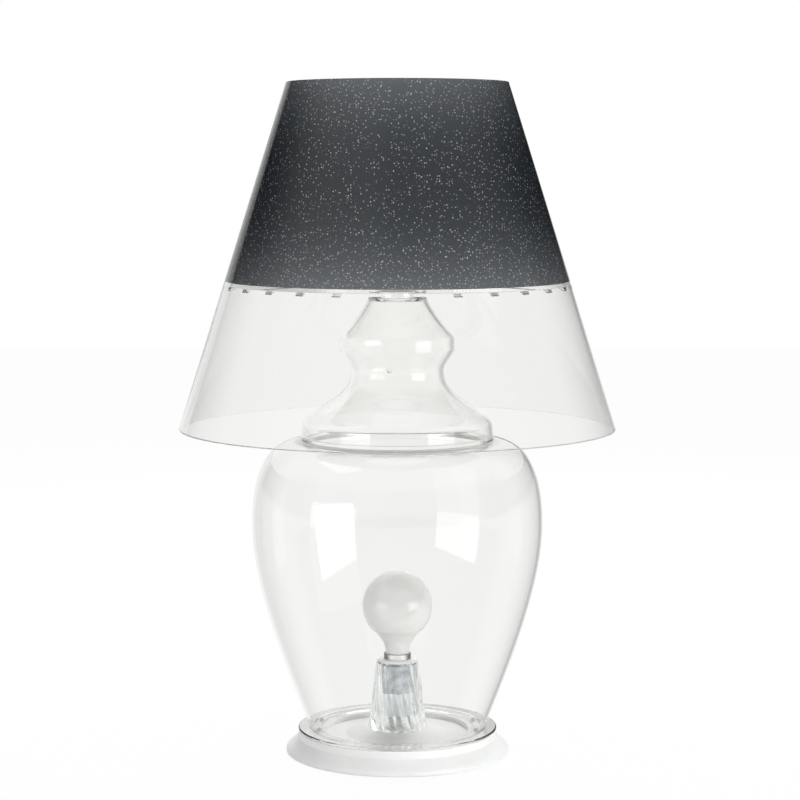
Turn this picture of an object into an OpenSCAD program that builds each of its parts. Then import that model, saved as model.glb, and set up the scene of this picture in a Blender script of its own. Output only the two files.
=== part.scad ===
// Table lamp: clear lidded jar on a weighted base, a lamp bulb inside it,
// and a clear conical shade with a dark liner carried on the lid's neck.
// Millimetres. The origin is the centre of the resting face; +Z is up; the front is -Y.

/* [Base casing] */
// Widest radius of the casing, at its bottom edge
base_r = 129.5; // [122:0.5:150]
// Radius of the upright band that carries the jar
band_r = 115.3; // [112:0.1:118]
// Height of the casing
base_h = 26; // [25:0.5:36]
// Height of the upright band at the top of the casing
band_h = 9; // [6:0.5:11]
// Height of the plain rim at the bottom edge
rim_h = 2.5; // [2:0.5:4]
// Rounding of the casing's outer edges
edge_r = 1.5; // [0.5:0.25:2]
// Wall of the casing
casing_wall = 3; // [2:0.25:4]
// Radius of the round opening in the casing's top
dish_r = 82.7; // [76:0.1:84]
// Thickness of the pad round that opening
pad_ring_t = 5; // [4:0.5:7]
// Outer radius of the pad round that opening
pad_ring_r = 98; // [97:0.5:100]

/* [Base cover, feet and ballast] */
// Thickness of the base cover
cover_t = 3; // [2.5:0.25:4]
// Gap round the base cover and round the dish plate
cover_gap = 0.3; // [0.2:0.05:0.6]
// How far the rubber feet stand out of the cover
foot_out = 2; // [1:0.25:5]
// How far the rubber feet are sunk in the cover
foot_sunk = 1.2; // [0.6:0.1:1.5]
// Radius of a rubber foot
foot_r = 8; // [5:0.5:12]
// Number of rubber feet
foot_count = 4; // [3:1:8]
// Distance of the rubber feet and the cover screws from the axis
foot_ring_r = 107.5; // [107:0.1:108]
// Inner radius of the ballast ring
ballast_in_r = 62; // [58:1:80]
// Outer radius of the ballast ring
ballast_out_r = 102; // [92:1:103]
// Thickness of the ballast ring
ballast_t = 9.5; // [5:0.5:11]
// Width of the slot in the ballast ring for the cord
ballast_slot = 14; // [8:1:24]

/* [Small screws] */
// Shank radius of the small screws
screw_r = 1.5; // [1.2:0.1:1.8]
// Head radius of the small screws
screw_head_r = 2.8; // [2.4:0.1:3.2]
// Head height of the small screws
screw_head_h = 1.6; // [1.2:0.1:2]
// Clearance round a screw in its hole
screw_gap = 0.05; // [0.02:0.01:0.1]
// Number of cover screws and of screws that hold the dish plate
screw_count = 4; // [3:1:6]

/* [Cord inlet] */
// Radius of the bore that takes the cord
gland_bore_r = 3.1; // [2:0.1:3.6]
// Radius of the gland's body
gland_r = 4.9; // [4.5:0.1:5.4]
// Radius of the gland's flange
gland_flange_r = 6.6; // [6.3:0.1:6.8]
// Thickness of the gland's flange
gland_flange_t = 2.5; // [1.5:0.25:4]
// Height of the cord bore above the bottom of the casing
gland_up = 10.5; // [10.4:0.1:10.8]
// Radius of the flat-faced boss that the gland sits on
gland_boss_r = 7.1; // [6.9:0.1:7.2]

/* [Dish plate] */
// Thickness of the dish plate
dish_t = 3; // [2:0.25:3.5]
// Radius of the plate outside the opening
dish_plate_r = 90.8; // [90:0.1:91]
// Radius of the raised seat in the middle of the dish
seat_r = 37; // [36:0.5:42]
// Height of the raised seat above the dish floor
seat_h = 6.5; // [3:0.5:9]
// Radius where the slope up to the seat begins
seat_slope_r = 60; // [48:1:70]

/* [Jar] */
// Wall of the jar and of its lid
clear_wall = 4; // [3:0.25:5]
// Thickness of the jar's foot flange
flange_t = 3; // [2:0.25:4]
// Inner radius of the jar's foot flange
flange_in_r = 89; // [86:0.5:90]
// Outer radius of the jar's wall where it leaves the flange
jar_foot_r = 101.9; // [101:0.1:106]
// How much the wall leans outwards at the foot, in mm per mm of height
jar_lean = 0.4; // [0.25:0.01:0.5]
// Outer radius of the belly
belly_r = 167.7; // [155:0.1:180]
// Height of the belly above the flange
belly_up = 237; // [215:1:255]
// Height of the jar from the bottom of its flange
jar_h = 338; // [328:1:350]
// Radius where the shoulder turns level under the lid
ledge_r = 112; // [111.5:0.1:114]
// Inner radius of the mouth
mouth_r = 104; // [103:0.1:105]
// Distance of the jar's screws from the axis
jar_screw_ring_r = 93.5; // [93:0.1:94]
// Angle of each jar screw from the left or right side
jar_screw_angle = 15; // [10:1:30]
// Length of the jar's screws under the head
jar_screw_l = 7.5; // [6:0.25:7.5]

/* [Lid] */
// Outer radius of the lid's collar at its foot
collar_r = 110.9; // [110:0.1:111.4]
// Height of the upright collar
collar_h = 15; // [10:0.5:18]
// Radius of the neck
neck_r = 53.3; // [48:0.1:58]
// Height of the neck above the lid's foot
neck_up = 80.2; // [76:0.1:84]
// Radius of the bulge above the neck
bulge_r = 65.6; // [60:0.1:72]
// Height of the lower edge of the bulge above the lid's foot
bulge_up = 104.5; // [101:0.1:108]
// Height of the upright band on the bulge
bulge_h = 10.3; // [6:0.1:14]
// Radius of the lid's flat top
lid_top_r = 33; // [31:0.5:38]
// Height of the lid from its foot to its flat top
lid_h = 164; // [158:0.5:176]
// How far the locating skirt reaches down into the jar's mouth
skirt_h = 8; // [4:0.5:16]
// Clearance between the skirt and the mouth
skirt_gap = 0.4; // [0.3:0.05:0.8]
// Radius of the spigot on top of the lid
spigot_r = 22; // [14:0.5:24]
// Height of the spigot
spigot_h = 11.5; // [8:0.5:13]
// Radius of the vent hole in the neck
vent_r = 2; // [1:0.25:3]
// Direction of the vent hole, from the right-hand side
vent_angle = -100; // [-180:5:180]

/* [Carrier disc] */
// Thickness of the carrier disc
disc_t = 4.5; // [3:0.25:6]
// Height of the hub under the disc
hub_h = 14; // [13.5:0.5:20]
// Outer radius of the hub
hub_r = 28; // [26:0.5:30.5]
// Radial clearance between the hub's bore and the spigot
hub_gap = 0.3; // [0.3:0.05:0.6]

/* [Shade] */
// Outer radius of the shade at the bottom
shade_bottom_r = 251; // [235:1:270]
// Outer radius of the shade at the top
shade_top_r = 126.4; // [115:0.1:140]
// Height of the shade
shade_h = 394.5; // [370:0.5:420]
// Wall of the shade, measured level
shade_wall = 3.7; // [2.5:0.1:5]
// Clearance between the shade and the disc and liner inside it
shade_gap = 0.5; // [0.3:0.05:1]
// Number of small catches that hold the disc in the shade
catch_count = 28; // [12:1:32]
// Width of a catch
catch_w = 9; // [5:0.5:12]
// Height of a catch
catch_h = 4; // [2:0.5:6]
// How far a catch reaches in under the disc
catch_reach = 4; // [2.5:0.25:6]

/* [Liner] */
// Height of the liner
liner_h = 226; // [150:1:240]
// Wall of the liner, measured level
liner_wall = 1; // [0.6:0.1:2]

/* [Glass cover of the lampholder] */
// Corner radius of the glass cover at the bottom
glass_bottom_r = 34; // [32:0.1:36]
// Corner radius of the glass cover at the top
glass_top_r = 24.6; // [24.2:0.1:28]
// Height of the glass cover without its lip
glass_h = 78; // [74:0.5:84]
// Height of the lip on the glass cover
glass_lip_h = 3; // [1:0.25:4]
// Number of flutes round the glass cover
flute_count = 8; // [6:1:12]
// Depth of the flutes as a share of the radius
flute_share = 0.06; // [0.02:0.01:0.08]
// Turn of the flutes from bottom to top, in degrees
flute_twist = 28; // [0:1:60]
// Thickness of the glass over the lampholder
glass_deck_t = 6; // [3:0.25:8]

/* [Lampholder] */
// Radius of the lampholder's body
holder_r = 19.6; // [18:0.1:20]
// Clearance between the lampholder's body and the glass cover
holder_gap = 0.6; // [0.3:0.05:0.8]
// Height of the spacer tube under the lampholder
spacer_h = 16.5; // [10:0.5:18]
// Height of the lower cup of the lampholder
cup_h = 26; // [20:0.5:28]
// Wall of the lampholder's shell and cup
holder_wall = 1.6; // [1:0.1:2]
// Thickness of the lampholder's insulating core
core_t = 10; // [8:0.5:13]
// Wall of the screw sleeve at its thread crests
sleeve_wall = 0.85; // [0.6:0.05:1]
// Radial clearance between the bulb's cap and the sleeve
thread_gap = 0.1; // [0.05:0.01:0.1]
// Outer radius of the bright ring on top of the glass cover
ring_r = 15.7; // [15.5:0.1:18]
// Height of the bright ring
ring_h = 6.1; // [4:0.1:8]

/* [Threaded tube] */
// Radius of the threaded tube
tube_r = 5; // [4.5:0.1:5]
// Radius of the bore of the threaded tube
tube_bore_r = 3.6; // [3:0.1:3.8]
// Width across the flats of the nuts
nut_flats = 14; // [13:0.5:16]
// Thickness of the nuts
nut_t = 4; // [3:0.5:5]

/* [Bulb] */
// Radius of the bulb's globe
globe_r = 40.7; // [36:0.1:46]
// Distance from the bottom of the metal cap's shell to the globe's centre
globe_up = 77.5; // [70:0.5:85]
// How far below its centre the globe meets the bulb's collar
globe_cut = 27.9; // [24:0.1:32]
// Wall of the globe
globe_wall = 1.2; // [0.8:0.1:2]
// Radius of the collar where it enters the ring
collar_foot_r = 13.7; // [13:0.1:14]
// Crest radius of the cap's thread
cap_r = 13.1; // [13:0.05:13.2]
// Pitch of the cap's thread
cap_pitch = 3.629; // [3.629:0.001:3.63]
// Length of the cap's threaded shell
cap_l = 22; // [20:0.25:24]
// Height of the insulator under the shell
insulator_h = 3; // [2:0.25:4]
// Height of the tip contact under the insulator
tip_h = 2; // [1:0.25:3]
// Radius of the tip contact
tip_r = 4.8; // [3:0.1:6]
// Number of light chips on the bulb's board
chip_count = 12; // [4:1:20]

/* [Wiring] */
// Radius of the two leads
lead_r = 1; // [0.8:0.05:1.1]
// Half the distance between the two leads inside the tube
lead_apart = 1.5; // [1.3:0.05:1.6]

/* [Hidden] */
$fn = 96;
// Sliver that lets a cut pass clean through a face
over = 0.01;
// Steps along each curve of a profile
steps = 14;

// Heights of the pieces, from the resting face up
base_z = foot_out;
base_top = base_z + base_h;
cover_top = base_z + cover_t;
pad_ring_z = base_top - pad_ring_t;
dish_z = pad_ring_z;
dish_bottom = dish_z - dish_t;
seat_z = dish_z + seat_h;
jar_z = base_top;
flange_top = jar_z + flange_t;
belly_z = flange_top + belly_up;
jar_top = jar_z + jar_h;
lid_z = jar_top;
lid_top = lid_z + lid_h;
disc_z = lid_top + hub_h;
disc_top = disc_z + disc_t;
liner_top = disc_top + liner_h;
shade_top = liner_top;
shade_z = shade_top - shade_h;
glass_z = seat_z;
glass_shoulder = glass_z + glass_h;
glass_top = glass_shoulder + glass_lip_h;
glass_deck = glass_top - glass_deck_t;
cup_z = seat_z + spacer_h;
core_z = cup_z + cup_h;
core_top = core_z + core_t;
ring_top = glass_top + ring_h;
shell_top = glass_deck - holder_gap;

// The bulb's cap stands in the sleeve with its shell's top at the top of the bright ring
bulb_seat_gap = 0.4;
cap_top = ring_top + bulb_seat_gap;
cap_z = cap_top - cap_l;
tip_z = cap_z - insulator_h - tip_h;
globe_z = cap_z + globe_up;
collar_top = globe_z - globe_cut;
collar_top_r = sqrt(globe_r * globe_r - globe_cut * globe_cut);
collar_foot_h = 2;
collar_wall = 1.5;
// Reach and drop of the curve's handle where the bulb's collar meets the globe
collar_reach = 9;
collar_drop = 7;

// Screw sleeve round the cap
sleeve_in_r = cap_r + thread_gap;
sleeve_r = sleeve_in_r + sleeve_wall;
thread_depth = 0.6;
sleeve_hole_r = sleeve_r + 0.15;

// Outer radius of the shade's cone at height z, and of the space inside it
function shade_r(z) = shade_bottom_r + (shade_top_r - shade_bottom_r) * (z - shade_z) / shade_h;
function shade_in_r(z) = shade_r(z) - shade_wall;
function liner_r(z) = shade_in_r(z) - shade_gap;

// Points of a cubic curve from a to d, without its last point
function bezier(a, b, c, d, n = steps) = [
    for (i = [0 : n - 1]) let (t = i / n)
        pow(1 - t, 3) * a + 3 * pow(1 - t, 2) * t * b + 3 * (1 - t) * t * t * c + pow(t, 3) * d
];
function reversed(list) = [for (i = [len(list) - 1 : -1 : 0]) list[i]];
// Unit direction from point i - 1 to point i + 1 of a line of points
function along(line, i) = let (
        p = line[max(i - 1, 0)],
        q = line[min(i + 1, len(line) - 1)]
    ) (q - p) / norm(q - p);
// The line moved to its left by distance t, as seen walking along it
function moved_left(line, t) = [
    for (i = [0 : len(line) - 1]) let (d = along(line, i)) line[i] + t * [-d[1], d[0]]
];

// A ring of copies round the axis
module ring_of(count, start = 0) {
    for (i = [0 : count - 1]) rotate([0, 0, start + 360 * i / count]) children();
}

// A small screw, its head's underside at the origin and its shank down
module small_screw(length) {
    translate([0, 0, -length]) cylinder(r = screw_r, h = length);
    difference() {
        cylinder(r = screw_head_r, h = screw_head_h);
        translate([0, 0, screw_head_h / 2]) cylinder(r = screw_r, h = screw_head_h, $fn = 6);
    }
}

// The hole for a small screw, down from the origin
module screw_hole(length) {
    translate([0, 0, -length]) cylinder(r = screw_r + screw_gap, h = length + over);
}

// ---------------------------------------------------------------- base

// Lengths of the screws under the head, and the space left at the end of a screw's hole
screw_end = 0.5;
cover_screw_l = 14;
dish_screw_l = dish_t + pad_ring_t - 2 * screw_end;
ballast_screw_l = cover_t - screw_head_h + 6;
ballast_screw_r = (ballast_in_r + ballast_out_r) / 2;
post_wall = 2.4;
screw_post_r = screw_r + post_wall;
dish_screw_ring_r = (dish_r + dish_plate_r) / 2;
// Angle of the first screw, so that the screws lie between the feet and clear of the cord inlet
diag = 180 / screw_count;

// Height where the flared skirt meets the upright band, and the upright start of the flare
skirt_z = base_z + base_h - band_h;
flare_up = 4;
lining_step = 1.5;
function casing_outline() = concat(
    [for (a = [-90 : 15 : 0]) [base_r - edge_r + edge_r * cos(a), base_z + edge_r + edge_r * sin(a)]],
    bezier(
        [base_r, base_z + rim_h],
        [base_r, base_z + rim_h + flare_up],
        [(band_r + base_r) / 2, skirt_z - 0.45 * (skirt_z - base_z - rim_h)],
        [band_r, skirt_z]
    ),
    [[band_r, skirt_z]],
    [for (a = [0 : 15 : 90]) [band_r - edge_r + edge_r * cos(a), base_top - edge_r + edge_r * sin(a)]]
);
function casing_lining() = concat(
    [[base_r - casing_wall, base_z]],
    [[base_r - casing_wall, base_z + rim_h + lining_step]],
    [[band_r - casing_wall, skirt_z - lining_step]],
    [[band_r - casing_wall, base_top - casing_wall]],
    [[pad_ring_r, base_top - casing_wall]],
    [[pad_ring_r, pad_ring_z]],
    [[dish_r, pad_ring_z]],
    [[dish_r, base_top]]
);
gland_z = base_z + gland_up;
// The gland's face stands a little way out on the flare, and its boss starts inside the band
gland_face_out = 3.1;
gland_back_in = 2;
gland_face_y = (base_r + band_r) / 2 + gland_face_out;
gland_back_y = band_r - casing_wall - gland_back_in;

module base_casing() {
    color("white") difference() {
        union() {
            rotate_extrude() polygon(concat(casing_outline(), reversed(casing_lining())));
            ring_of(screw_count, diag) translate([foot_ring_r, 0, cover_top])
                cylinder(r = screw_post_r, h = base_top - casing_wall - cover_top + over);
            difference() {
                translate([0, gland_back_y, gland_z]) rotate([-90, 0, 0])
                    cylinder(r = gland_boss_r, h = gland_face_y - gland_back_y);
                cylinder(r = base_r - casing_wall, h = cover_top + cover_gap);
            }
        }
        ring_of(screw_count, diag) translate([foot_ring_r, 0, cover_top - over])
            cylinder(r = screw_r + screw_gap, h = cover_screw_l);
        ring_of(foot_count) translate([foot_ring_r, 0, base_z - over])
            cylinder(r = foot_r + cover_gap, h = foot_sunk + over);
        translate([0, gland_back_y - over, gland_z]) rotate([-90, 0, 0])
            cylinder(r = gland_r + screw_gap, h = gland_face_y - gland_back_y + 2 * over);
        translate([0, gland_face_y, gland_z]) rotate([-90, 0, 0])
            cylinder(r = gland_flange_r + cover_gap, h = base_r);
        ring_of(screw_count, diag) translate([dish_screw_ring_r, 0, pad_ring_z - over])
            cylinder(r = screw_r + screw_gap, h = dish_screw_l - dish_t + screw_end);
        jar_screw_places() screw_hole(jar_screw_l + over);
    }
}

module base_cover() {
    color("gainsboro") difference() {
        translate([0, 0, base_z]) cylinder(r = base_r - casing_wall - cover_gap, h = cover_t);
        ring_of(foot_count) translate([foot_ring_r, 0, base_z - over])
            cylinder(r = foot_r + cover_gap, h = foot_sunk + over);
        ring_of(screw_count, diag) translate([foot_ring_r, 0, base_z]) countersunk_way();
        ring_of(screw_count, diag) translate([ballast_screw_r, 0, base_z]) countersunk_way();
    }
}

// A stepped hole through the cover that hides a small screw's head
module countersunk_way() {
    translate([0, 0, -over]) cylinder(r = screw_r + screw_gap, h = cover_t + 2 * over);
    translate([0, 0, -over]) cylinder(r = screw_head_r + screw_gap, h = screw_head_h + over);
}

module foot_pads() {
    color("dimgray") ring_of(foot_count) translate([foot_ring_r, 0, 0])
        cylinder(r = foot_r, h = foot_out + foot_sunk);
}

module cover_screws() {
    color("silver") ring_of(screw_count, diag)
        translate([foot_ring_r, 0, base_z + screw_head_h]) rotate([180, 0, 0]) small_screw(cover_screw_l);
}

module ballast_ring() {
    color("slategray") difference() {
        translate([0, 0, cover_top]) cylinder(r = ballast_out_r, h = ballast_t);
        translate([0, 0, cover_top - over]) cylinder(r = ballast_in_r, h = ballast_t + 2 * over);
        translate([-ballast_slot / 2, 0, cover_top - over])
            cube([ballast_slot, ballast_out_r + 1, ballast_t + 2 * over]);
        ring_of(screw_count, diag) translate([ballast_screw_r, 0, cover_top - over])
            cylinder(r = screw_r + screw_gap, h = ballast_screw_l + screw_head_h - cover_t + screw_end);
    }
}

module ballast_screws() {
    color("silver") ring_of(screw_count, diag) translate([ballast_screw_r, 0, base_z + screw_head_h])
        rotate([180, 0, 0]) small_screw(ballast_screw_l);
}

gland_nut_t = 3;
// How far a threaded piece stands out of its nut
thread_out = 1;
gland_l = gland_face_y - gland_back_y + gland_nut_t + thread_out;

module cord_gland() {
    color("white") translate([0, gland_face_y, gland_z]) rotate([-90, 0, 0]) difference() {
        union() {
            translate([0, 0, -gland_l]) cylinder(r = gland_r, h = gland_l + over);
            cylinder(r = gland_flange_r, h = gland_flange_t);
        }
        translate([0, 0, -gland_l - over])
            cylinder(r = gland_bore_r, h = gland_l + gland_flange_t + 2 * over);
    }
}

module gland_nut() {
    color("silver") translate([0, gland_back_y, gland_z]) rotate([90, 0, 0]) difference() {
        cylinder(r = gland_flange_r, h = gland_nut_t, $fn = 6);
        translate([0, 0, -over]) cylinder(r = gland_r + screw_gap, h = gland_nut_t + 2 * over);
    }
}

// Terminal block: size, place, the two poles' screw towers and the ways for the wires
block_w = 24;
block_d = 17;
block_h = 12;
block_base_h = 9;
block_y = ballast_in_r - block_d - 6;
pole_x = 5.5;
pole_r = 3.2;
block_way_r = 1.6;
block_way_z = cover_top + 5;
terminal_screw_l = 3.5;

// Places of the screws along the block, as shares of its depth
block_ends = [0.27, 0.73];

module terminal_block() {
    color("ivory") difference() {
        union() {
            translate([-block_w / 2, block_y, cover_top]) cube([block_w, block_d, block_base_h]);
            for (side = [-1, 1]) for (end = block_ends)
                translate([side * pole_x, block_y + end * block_d, cover_top])
                    cylinder(r = pole_r, h = block_h);
        }
        for (side = [-1, 1]) {
            translate([side * pole_x, block_y - over, block_way_z]) rotate([-90, 0, 0])
                cylinder(r = block_way_r, h = block_d + 2 * over);
            for (end = block_ends) translate([side * pole_x, block_y + end * block_d, block_way_z])
                cylinder(r = screw_r + screw_gap, h = block_h);
        }
    }
}

module terminal_screws() {
    color("gold") for (side = [-1, 1]) for (end = block_ends)
        translate([side * pole_x, block_y + end * block_d, block_way_z + block_way_r])
            cylinder(r = screw_r, h = terminal_screw_l);
}

// ---------------------------------------------------------------- dish and tube

module dish_plate() {
    color("whitesmoke") difference() {
        rotate_extrude() polygon([
            [tube_r + screw_gap, dish_bottom],
            [dish_plate_r, dish_bottom],
            [dish_plate_r, dish_z],
            [seat_slope_r, dish_z],
            [seat_r, seat_z],
            [tube_r + screw_gap, seat_z]
        ]);
        ring_of(screw_count, diag) translate([dish_screw_ring_r, 0, dish_z]) screw_hole(dish_t + over);
    }
}

module dish_screws() {
    color("silver") ring_of(screw_count, diag) translate([dish_screw_ring_r, 0, dish_bottom])
        rotate([180, 0, 0]) small_screw(dish_screw_l);
}

washer_t = 1.5;
washer_r = 10;
spacer_wall = 3;
tube_z = dish_bottom - washer_t - nut_t - thread_out;
tube_top = cup_z + holder_wall + nut_t + thread_out;

module threaded_tube() {
    color("silver") difference() {
        translate([0, 0, tube_z]) cylinder(r = tube_r, h = tube_top - tube_z);
        translate([0, 0, tube_z - over]) cylinder(r = tube_bore_r, h = tube_top - tube_z + 2 * over);
    }
}

module tube_washer() {
    color("silver") translate([0, 0, dish_bottom - washer_t]) difference() {
        cylinder(r = washer_r, h = washer_t);
        translate([0, 0, -over]) cylinder(r = tube_r + screw_gap, h = washer_t + 2 * over);
    }
}

// A hexagon nut on the threaded tube, its lower face at height z
module tube_hexagon(z) {
    translate([0, 0, z]) difference() {
        cylinder(r = nut_flats / 2 / cos(30), h = nut_t, $fn = 6);
        translate([0, 0, -over]) cylinder(r = tube_r + screw_gap, h = nut_t + 2 * over);
    }
}

module tube_nut() {
    color("silver") tube_hexagon(dish_bottom - washer_t - nut_t);
}

module spacer_tube() {
    color("silver") translate([0, 0, seat_z]) difference() {
        cylinder(r = tube_r + spacer_wall, h = spacer_h);
        translate([0, 0, -over]) cylinder(r = tube_r + screw_gap, h = spacer_h + 2 * over);
    }
}

// ---------------------------------------------------------------- jar

module jar_screw_places() {
    for (side = [0, 180]) for (a = [-jar_screw_angle, jar_screw_angle])
        rotate([0, 0, side + a]) translate([jar_screw_ring_r, 0, flange_top]) children();
}

// Lengths of the curve handles: up from the foot, down and up from the belly, out from the ledge
foot_rise = 0.4 * belly_up;
belly_fall = 0.26 * belly_up;
belly_rise = 0.59 * (jar_top - belly_z);
ledge_reach = 40;
// Chamfers on the foot flange's lower and upper edge
flange_break = 0.5;
flange_chamfer = 1;
function jar_outline() = concat(
    bezier(
        [jar_foot_r, flange_top],
        [jar_foot_r + jar_lean * foot_rise, flange_top + foot_rise],
        [belly_r, belly_z - belly_fall],
        [belly_r, belly_z]
    ),
    bezier(
        [belly_r, belly_z],
        [belly_r, belly_z + belly_rise],
        [ledge_r + ledge_reach, jar_top],
        [ledge_r, jar_top]
    ),
    [[ledge_r, jar_top]]
);

module jar() {
    wall_line = jar_outline();
    lining = moved_left(wall_line, clear_wall);
    color("aliceblue", 0.35) difference() {
        rotate_extrude() polygon(concat(
            [[flange_in_r, jar_z], [band_r - flange_break, jar_z], [band_r, jar_z + flange_break]],
            [[band_r, flange_top - flange_chamfer], [band_r - flange_chamfer, flange_top]],
            wall_line,
            [[mouth_r, jar_top], [mouth_r, jar_top - clear_wall]],
            reversed([for (p = lining) if (p[1] > flange_top && p[1] < jar_top - clear_wall) p]),
            [[jar_foot_r - clear_wall, flange_top], [flange_in_r, flange_top]]
        ));
        jar_screw_places() screw_hole(flange_t + over);
    }
}

module jar_screws() {
    color("silver") jar_screw_places() small_screw(jar_screw_l);
}

// ---------------------------------------------------------------- lampholder and its glass cover

module holder_cup() {
    color("white") translate([0, 0, cup_z]) difference() {
        cylinder(r = holder_r, h = cup_h);
        translate([0, 0, holder_wall]) cylinder(r = holder_r - holder_wall, h = cup_h);
        translate([0, 0, -over]) cylinder(r = tube_r + screw_gap, h = cup_h);
    }
}

module holder_nut() {
    color("silver") tube_hexagon(cup_z + holder_wall);
}

// Places of the core's terminal screws and wire ways, and the spigot that centres it in the cup
core_screw_x = 12;
core_way_x = 8;
core_spigot_h = 2;
core_screw_up = 2;
core_way_h = 7;

module holder_core() {
    color("whitesmoke") difference() {
        union() {
            translate([0, 0, core_z]) cylinder(r = holder_r, h = core_t);
            translate([0, 0, core_z - core_spigot_h])
                cylinder(r = holder_r - holder_wall - screw_gap, h = core_spigot_h + over);
        }
        for (side = [-1, 1]) {
            translate([side * core_way_x, 0, core_z - core_spigot_h - over])
                cylinder(r = lead_r + 0.3, h = core_way_h);
            translate([side * core_screw_x, 0, core_z + core_screw_up])
                cylinder(r = screw_r + screw_gap, h = core_t);
        }
    }
}

module core_screws() {
    color("gold") for (side = [-1, 1]) translate([side * core_screw_x, 0, core_z + core_screw_up])
        cylinder(r = screw_r, h = core_t - core_screw_up - screw_end);
}

module screw_sleeve() {
    color("silver") difference() {
        translate([0, 0, core_top]) cylinder(r = sleeve_r, h = ring_top - core_top);
        translate([0, 0, core_top - over]) cylinder(r = sleeve_in_r, h = ring_top - core_top + 2 * over);
    }
}

// Leaf spring folded from strip, under the bulb's tip
leaf_w = 6;
leaf_t = 0.8;
leaf_foot = 9;
leaf_bend = 1;
leaf_arm = 14;
contact_gap = 0.3;
module centre_contact() {
    h = tip_z - contact_gap - core_top;
    color("gold") translate([-leaf_w / 2, 0, core_top]) rotate([90, 0, 90]) linear_extrude(height = leaf_w)
        polygon([
            [-leaf_foot, 0], [leaf_bend, 0], [leaf_foot, h - leaf_t], [leaf_foot, h],
            [leaf_foot - leaf_arm, h], [leaf_foot - leaf_arm, h - leaf_t],
            [leaf_foot - 2 * leaf_t, h - leaf_t], [leaf_bend - leaf_t / 2, leaf_t], [-leaf_foot, leaf_t]
        ]);
}

module holder_shell() {
    color("silver") difference() {
        translate([0, 0, core_top]) cylinder(r = holder_r, h = shell_top - core_top);
        translate([0, 0, core_top - over])
            cylinder(r = holder_r - holder_wall, h = shell_top - core_top - holder_wall);
        translate([0, 0, core_top]) cylinder(r = sleeve_hole_r, h = shell_top);
    }
}

module holder_ring() {
    color("silver") translate([0, 0, glass_top]) difference() {
        cylinder(r = ring_r, h = ring_h);
        translate([0, 0, -over]) cylinder(r = sleeve_r + screw_gap, h = ring_h + 2 * over);
    }
}

lip_r = glass_top_r * (1 - flute_share) - 0.5;
lip_slope = 2;
module glass_cover() {
    color("lightsteelblue", 0.5) difference() {
        union() {
            translate([0, 0, glass_z])
                linear_extrude(height = glass_h, twist = flute_twist, scale = glass_top_r / glass_bottom_r,
                    slices = 20, $fn = 2 * flute_count)
                polygon([
                    for (i = [0 : 2 * flute_count - 1])
                        let (
                            r = glass_bottom_r * (i % 2 == 0 ? 1 : 1 - flute_share),
                            a = 180 * i / flute_count
                        )
                        r * [cos(a), sin(a)]
                ]);
            translate([0, 0, glass_shoulder - over])
                cylinder(r1 = lip_r, r2 = lip_r - lip_slope, h = glass_lip_h + over);
        }
        translate([0, 0, glass_z - over]) cylinder(r = holder_r + holder_gap, h = glass_deck - glass_z);
        translate([0, 0, glass_z]) cylinder(r = sleeve_hole_r, h = glass_h + glass_lip_h + over);
    }
}

// ---------------------------------------------------------------- leads

// Corners of a ring of a tube's outline round point p, square to direction d
lead_sides = 8;
function square_to(d) = let (s = abs(d[2]) < 0.9 ? [0, 0, 1] : [0, 1, 0], u = cross(d, s)) u / norm(u);
function tube_ring(p, d, r) = let (u = square_to(d), v = cross(d, u))
    [for (k = [0 : lead_sides - 1]) p + r * (cos(360 * k / lead_sides) * u + sin(360 * k / lead_sides) * v)];
function direction(path, i) = let (
        p = path[max(i - 1, 0)],
        q = path[min(i + 1, len(path) - 1)]
    ) (q - p) / norm(q - p);
module swept(path, r) {
    n = len(path);
    points = [for (i = [0 : n - 1]) each tube_ring(path[i], direction(path, i), r)];
    sides = [
        for (i = [0 : n - 2]) for (k = [0 : lead_sides - 1]) let (m = (k + 1) % lead_sides)
            [i * lead_sides + k, i * lead_sides + m, (i + 1) * lead_sides + m, (i + 1) * lead_sides + k]
    ];
    start = [[for (k = [lead_sides - 1 : -1 : 0]) k]];
    finish = [[for (k = [0 : lead_sides - 1]) (n - 1) * lead_sides + k]];
    polyhedron(points = points, faces = concat(start, sides, finish));
}

// Route of a lead on one side: out of the block, up the tube, and into the core
lead_in = 3;
function lead_route(side) = concat(
    bezier(
        [side * pole_x, block_y + lead_in, block_way_z],
        [side * pole_x, block_y / 2, block_way_z],
        [side * lead_apart, 2, block_way_z - 2],
        [side * lead_apart, 0, tube_z + lead_in],
        10
    ),
    [[side * lead_apart, 0, tube_z + 2 * lead_in], [side * lead_apart, 0, tube_top - lead_in]],
    bezier(
        [side * lead_apart, 0, tube_top],
        [side * lead_apart, 0, tube_top + 2 * lead_in],
        [side * core_way_x, 0, core_z - 3 * lead_in],
        [side * core_way_x, 0, core_z - lead_in],
        8
    ),
    [[side * core_way_x, 0, core_z - lead_in], [side * core_way_x, 0, core_z + lead_in]]
);

module live_lead() {
    color("saddlebrown") swept(lead_route(1), lead_r);
}

module neutral_lead() {
    color("royalblue") swept(lead_route(-1), lead_r);
}

// ---------------------------------------------------------------- bulb

cap_root_r = cap_r - thread_depth;
cap_skin = 0.5;
// Plain length of the cap's shell below the thread, and the rounding of a thread's crest
cap_plain = 1;
crest_round = 0.15;
insulator_r = 11;
// How far the insulator reaches past the tip, and how much the tip tapers
tip_ledge = 1;
tip_taper = 1;

module bulb_tip() {
    color("silver") translate([0, 0, tip_z]) cylinder(r1 = tip_r - tip_taper, r2 = tip_r, h = tip_h);
}

module bulb_insulator() {
    color("black") translate([0, 0, tip_z + tip_h])
        cylinder(r1 = tip_r + tip_ledge, r2 = insulator_r, h = insulator_h);
}

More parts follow.
